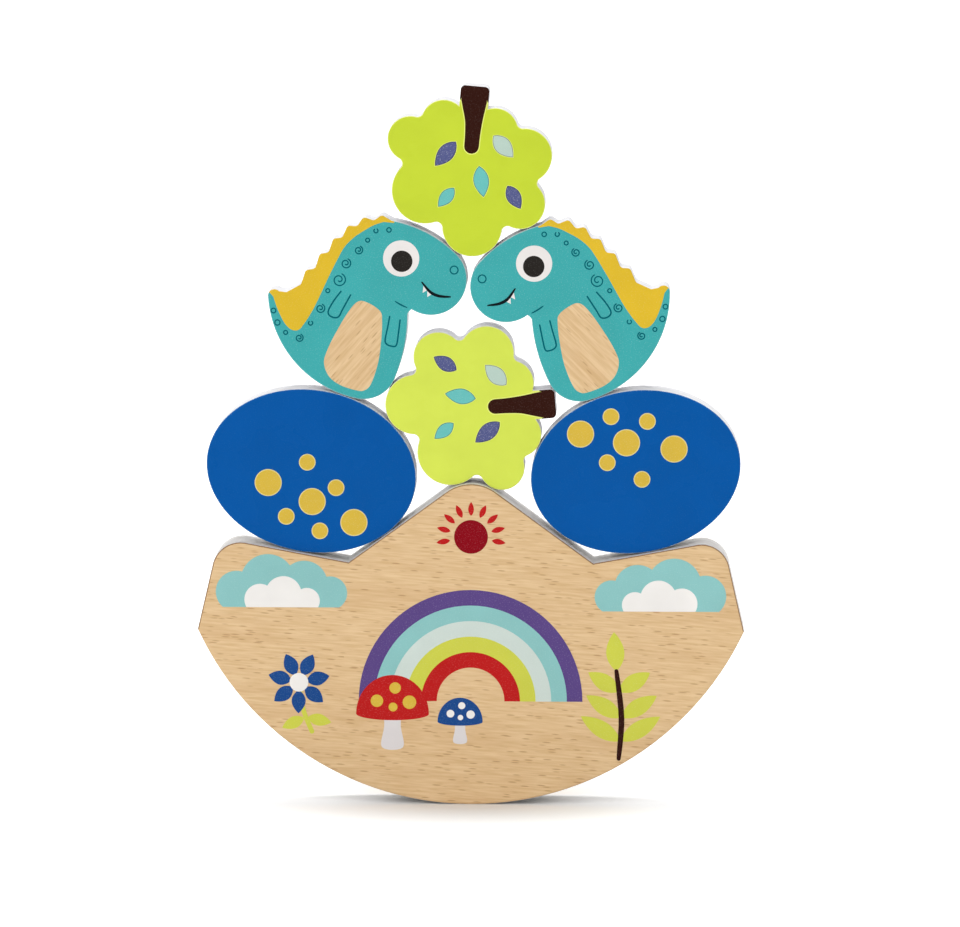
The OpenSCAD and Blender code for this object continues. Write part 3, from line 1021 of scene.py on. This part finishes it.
def print_toadstool(block, inks, name, foot, size, cap_ink, dot_ink):
    """A toadstool with a domed, dotted cap."""
    def at(x, up):
        return Vector((foot[0] + x * size, foot[1] + up * size))
    stem = blob([at(*point) for point in TOADSTOOL_STEM])
    angles = [math.pi * step / CAP_STEPS for step in range(CAP_STEPS + 1)]
    dome = [at(CAP_HALF * math.cos(angle), CAP_BRIM + CAP_RISE * math.sin(angle)) for angle in angles]
    under = [at(-CAP_HALF * math.cos(angle), CAP_BRIM - CAP_SAG * math.sin(angle))
             for angle in angles[1:-1]]
    dots = [disc(at(*centre), radius * size) for centre, radius in TOADSTOOL_DOTS]
    block.stamp(f"{name}_toadstool_stem", [stem], inks["lavender"], layer=1)
    block.stamp(f"{name}_toadstool_cap", [[dome + under]], inks[cap_ink], layer=2)
    block.stamp(f"{name}_toadstool_dots", dots, inks[dot_ink], layer=3)


def make_base(inks, wood, edge, dark_top_line):
    """The beech base with a picture on each face, bare at the bottom, and a thin dark brown line along its
    top rim.
    """
    low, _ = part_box("rocker_base")
    block = Block("rocker_base", "beech", (low.x / MM, low.z / MM))
    right = max(block.outline, key=lambda point: point.x)
    left = min(block.outline, key=lambda point: point.x)
    top = block.run(right, left)
    block.build(BASE_ROUNDING, wood, wood, edge, dark_top_line, top[:-1], FACE_PAINT_STEPS)
    print_rainbow(block, inks)
    print_sun(block, inks)
    print_clouds(block, inks)
    print_fern(block, inks)
    print_flower(block, inks)
    for plan in TOADSTOOLS:
        print_toadstool(block, inks, *plan)


# Stage

def seen(tree):
    """1 for what the camera sees straight, in a reflection or through glass, and 0 for other light."""
    path = add_node(tree, "ShaderNodeLightPath")
    total = path.outputs["Is Camera Ray"]
    for name in ("Is Glossy Ray", "Is Transmission Ray"):
        total = combined(tree, "MAXIMUM", total, path.outputs[name])
    return total


def add_floor():
    """A wide pale floor that glows for the camera, more and more away from the foot: painted light that
    makes it look white and leaves the shadow showing only near the foot.
    """
    half = FLOOR_SIZE / 2 * MM
    data = bpy.data.meshes.new("floor")
    corners = [(-half, -half, 0), (half, -half, 0), (half, half, 0), (-half, half, 0)]
    data.from_pydata(corners, [], [(0, 1, 2, 3)])
    made = bpy.data.objects.new("floor", data)
    bpy.context.scene.collection.objects.link(made)
    material, tree, shader = new_material("floor")
    tree.nodes.remove(shader)
    white = add_node(tree, "ShaderNodeBsdfDiffuse", {"Color": (FLOOR_WHITE, FLOOR_WHITE, FLOOR_WHITE, 1)})
    place = add_node(tree, "ShaderNodeTexCoord").outputs["Object"]
    away = add_node(tree, "ShaderNodeVectorMath", {"Vector": place}, operation="LENGTH").outputs["Value"]
    growing = remap(tree, away, (GLOW_START * MM, GLOW_FULL * MM), (0.0, FLOOR_GLOW))
    strength = combined(tree, "MULTIPLY", seen(tree), growing)
    glow = add_node(tree, "ShaderNodeEmission", {"Color": WHITE_LIGHT, "Strength": strength})
    both = tree.nodes.new("ShaderNodeAddShader")
    tree.links.new(white.outputs[0], both.inputs[0])
    tree.links.new(glow.outputs[0], both.inputs[1])
    tree.links.new(both.outputs[0], tree.nodes["Material Output"].inputs["Surface"])
    data.materials.append(material)


def add_sky():
    """A white surround that looks white and lights softly, most from low down."""
    world = bpy.data.worlds.new("studio")
    world.use_nodes = True
    tree = world.node_tree
    towards = add_node(tree, "ShaderNodeTexCoord").outputs["Generated"]
    up = add_node(tree, "ShaderNodeSeparateXYZ", {"Vector": towards}).outputs["Z"]
    strength = remap(tree, up, (0.0, 1.0), (SKY_LOW, SKY_OVERHEAD))
    light = add_node(tree, "ShaderNodeBackground", {"Color": WHITE_LIGHT, "Strength": strength})
    white = add_node(tree, "ShaderNodeBackground", {"Color": WHITE_LIGHT, "Strength": SEEN_WHITE})
    choice = tree.nodes.new("ShaderNodeMixShader")
    tree.links.new(seen(tree), choice.inputs[0])
    tree.links.new(light.outputs[0], choice.inputs[1])
    tree.links.new(white.outputs[0], choice.inputs[2])
    tree.links.new(choice.outputs[0], tree.nodes["World Output"].inputs["Surface"])
    bpy.context.scene.world = world


def add_lamp(name, azimuth, elevation, strength, angle):
    """A broad soft lamp, far off in that direction: azimuth 0 is the camera's side.

    A strength of 1 lights what faces it like a whole sky of strength 1.
    """
    data = bpy.data.lights.new(name, "SUN")
    data.energy = strength * math.pi
    data.angle = math.radians(angle)
    made = bpy.data.objects.new(name, data)
    across = math.radians(azimuth)
    up = math.radians(elevation)
    towards = Vector((math.sin(across) * math.cos(up), -math.cos(across) * math.cos(up), math.sin(up)))
    made.rotation_euler = towards.to_track_quat("Z", "Y").to_euler()
    bpy.context.scene.collection.objects.link(made)


def add_camera():
    """The photograph's view."""
    data = bpy.data.cameras.new("camera")
    data.lens = CAMERA_LENS
    data.sensor_width = CAMERA_SENSOR
    data.sensor_fit = "HORIZONTAL"
    data.clip_end = FLOOR_SIZE * MM
    made = bpy.data.objects.new("camera", data)
    across = math.radians(CAMERA_AZIMUTH)
    up = math.radians(CAMERA_ELEVATION)
    forward = Vector((math.sin(across) * math.cos(up), math.cos(across) * math.cos(up), -math.sin(up)))
    right = forward.cross(Vector((0, 0, 1))).normalized()
    level = Matrix((right, right.cross(forward), -forward)).transposed()
    roll = Matrix.Rotation(math.radians(CAMERA_ROLL), 3, "Z")
    place = Vector(CAMERA_TARGET) - forward * CAMERA_DISTANCE
    made.matrix_world = Matrix.Translation(place * MM) @ (level @ roll).to_4x4()
    bpy.context.scene.collection.objects.link(made)
    bpy.context.scene.camera = made


# The whole scene

add_camera()
add_sky()
add_floor()
add_lamp("top", *TOP_LAMP)
add_lamp("front", *FRONT_LAMP)
bpy.context.scene.view_settings.view_transform = "Standard"

white_edge = edge_paint("white_edge_paint", EDGE_WHITE, EDGE_GREY)
base_edge = edge_paint("base_edge_paint", BASE_EDGE_WHITE, BASE_EDGE_GREY)

egg_inks = {
    "dot": paint("dot_gold", GOLD),
    "dot_rim": paint("dot_rim_gold", PALE_GOLD),
    "blue": paint("egg_blue", EGG_BLUE, LACQUER_ROUGHNESS, LACQUER_SPECKS),
    "highlight": paint("highlight_blue", HIGHLIGHT_BLUE, LACQUER_ROUGHNESS, HIGHLIGHT_SPECKS),
}
make_egg("left_egg", LEFT_EGG_TURN, LEFT_PRINT_TURN, egg_inks, white_edge)
make_egg("right_egg", RIGHT_EGG_TURN, RIGHT_PRINT_TURN, egg_inks, white_edge)

leaf_inks = {}
for name, (colour, specks) in LEAF_INKS.items():
    border = paint(f"leaf_{name}_border", shade(colour, BORDER_SHADE), specks=0.0)
    leaf_inks[name] = (paint(f"leaf_{name}", colour, specks=specks), border)
tree_inks = {
    "halo": paint("halo_and_highlight_lime", PALE_LIME),
    "trunk": paint("trunk_brown", TRUNK_BROWN, TRUNK_ROUGHNESS, TRUNK_SPECKS),
}
top_lime = paint("top_lime", TOP_LIME, LACQUER_ROUGHNESS, LACQUER_SPECKS)
middle_lime = paint("middle_lime", MIDDLE_LIME, LACQUER_ROUGHNESS, LACQUER_SPECKS)
make_tree("middle_tree", MIDDLE_TREE_TURN, False, middle_lime, tree_inks, leaf_inks, white_edge)
make_tree("top_tree", TOP_TREE_TURN, True, top_lime, tree_inks, leaf_inks, white_edge)

dino_inks = {}
for name, (colour, specks) in DINO_INKS.items():
    dino_inks[name] = paint(name, colour, DINO_ROUGHNESS, specks)
# The right dinosaur is mirrored, and so is its grain
left_grain = BELLY_GRAIN + LEFT_DINOSAUR_TURN
right_grain = 180 - BELLY_GRAIN + RIGHT_DINOSAUR_TURN
left_belly = beech("left_belly_beech", left_grain, BELLY_STREAKS, BELLY_FLECKS)
right_belly = beech("right_belly_beech", right_grain, BELLY_STREAKS, BELLY_FLECKS)
make_dinosaur("left_dinosaur", LEFT_DINOSAUR_TURN, False, dino_inks, white_edge, left_belly)
make_dinosaur("right_dinosaur", RIGHT_DINOSAUR_TURN, True, dino_inks, white_edge, right_belly)

print_inks = {"gold": egg_inks["dot"]}
for name, (colour, specks) in PRINT_INKS.items():
    print_inks[name] = paint(f"print_{name}", colour, PRINT_ROUGHNESS, specks)
base_wood = beech("base_beech", BASE_GRAIN, BASE_STREAKS, BASE_FLECKS)
dark_top_line = paint("dark_top_line_paint", DARK_TOP_LINE)
make_base(print_inks, base_wood, base_edge, dark_top_line)
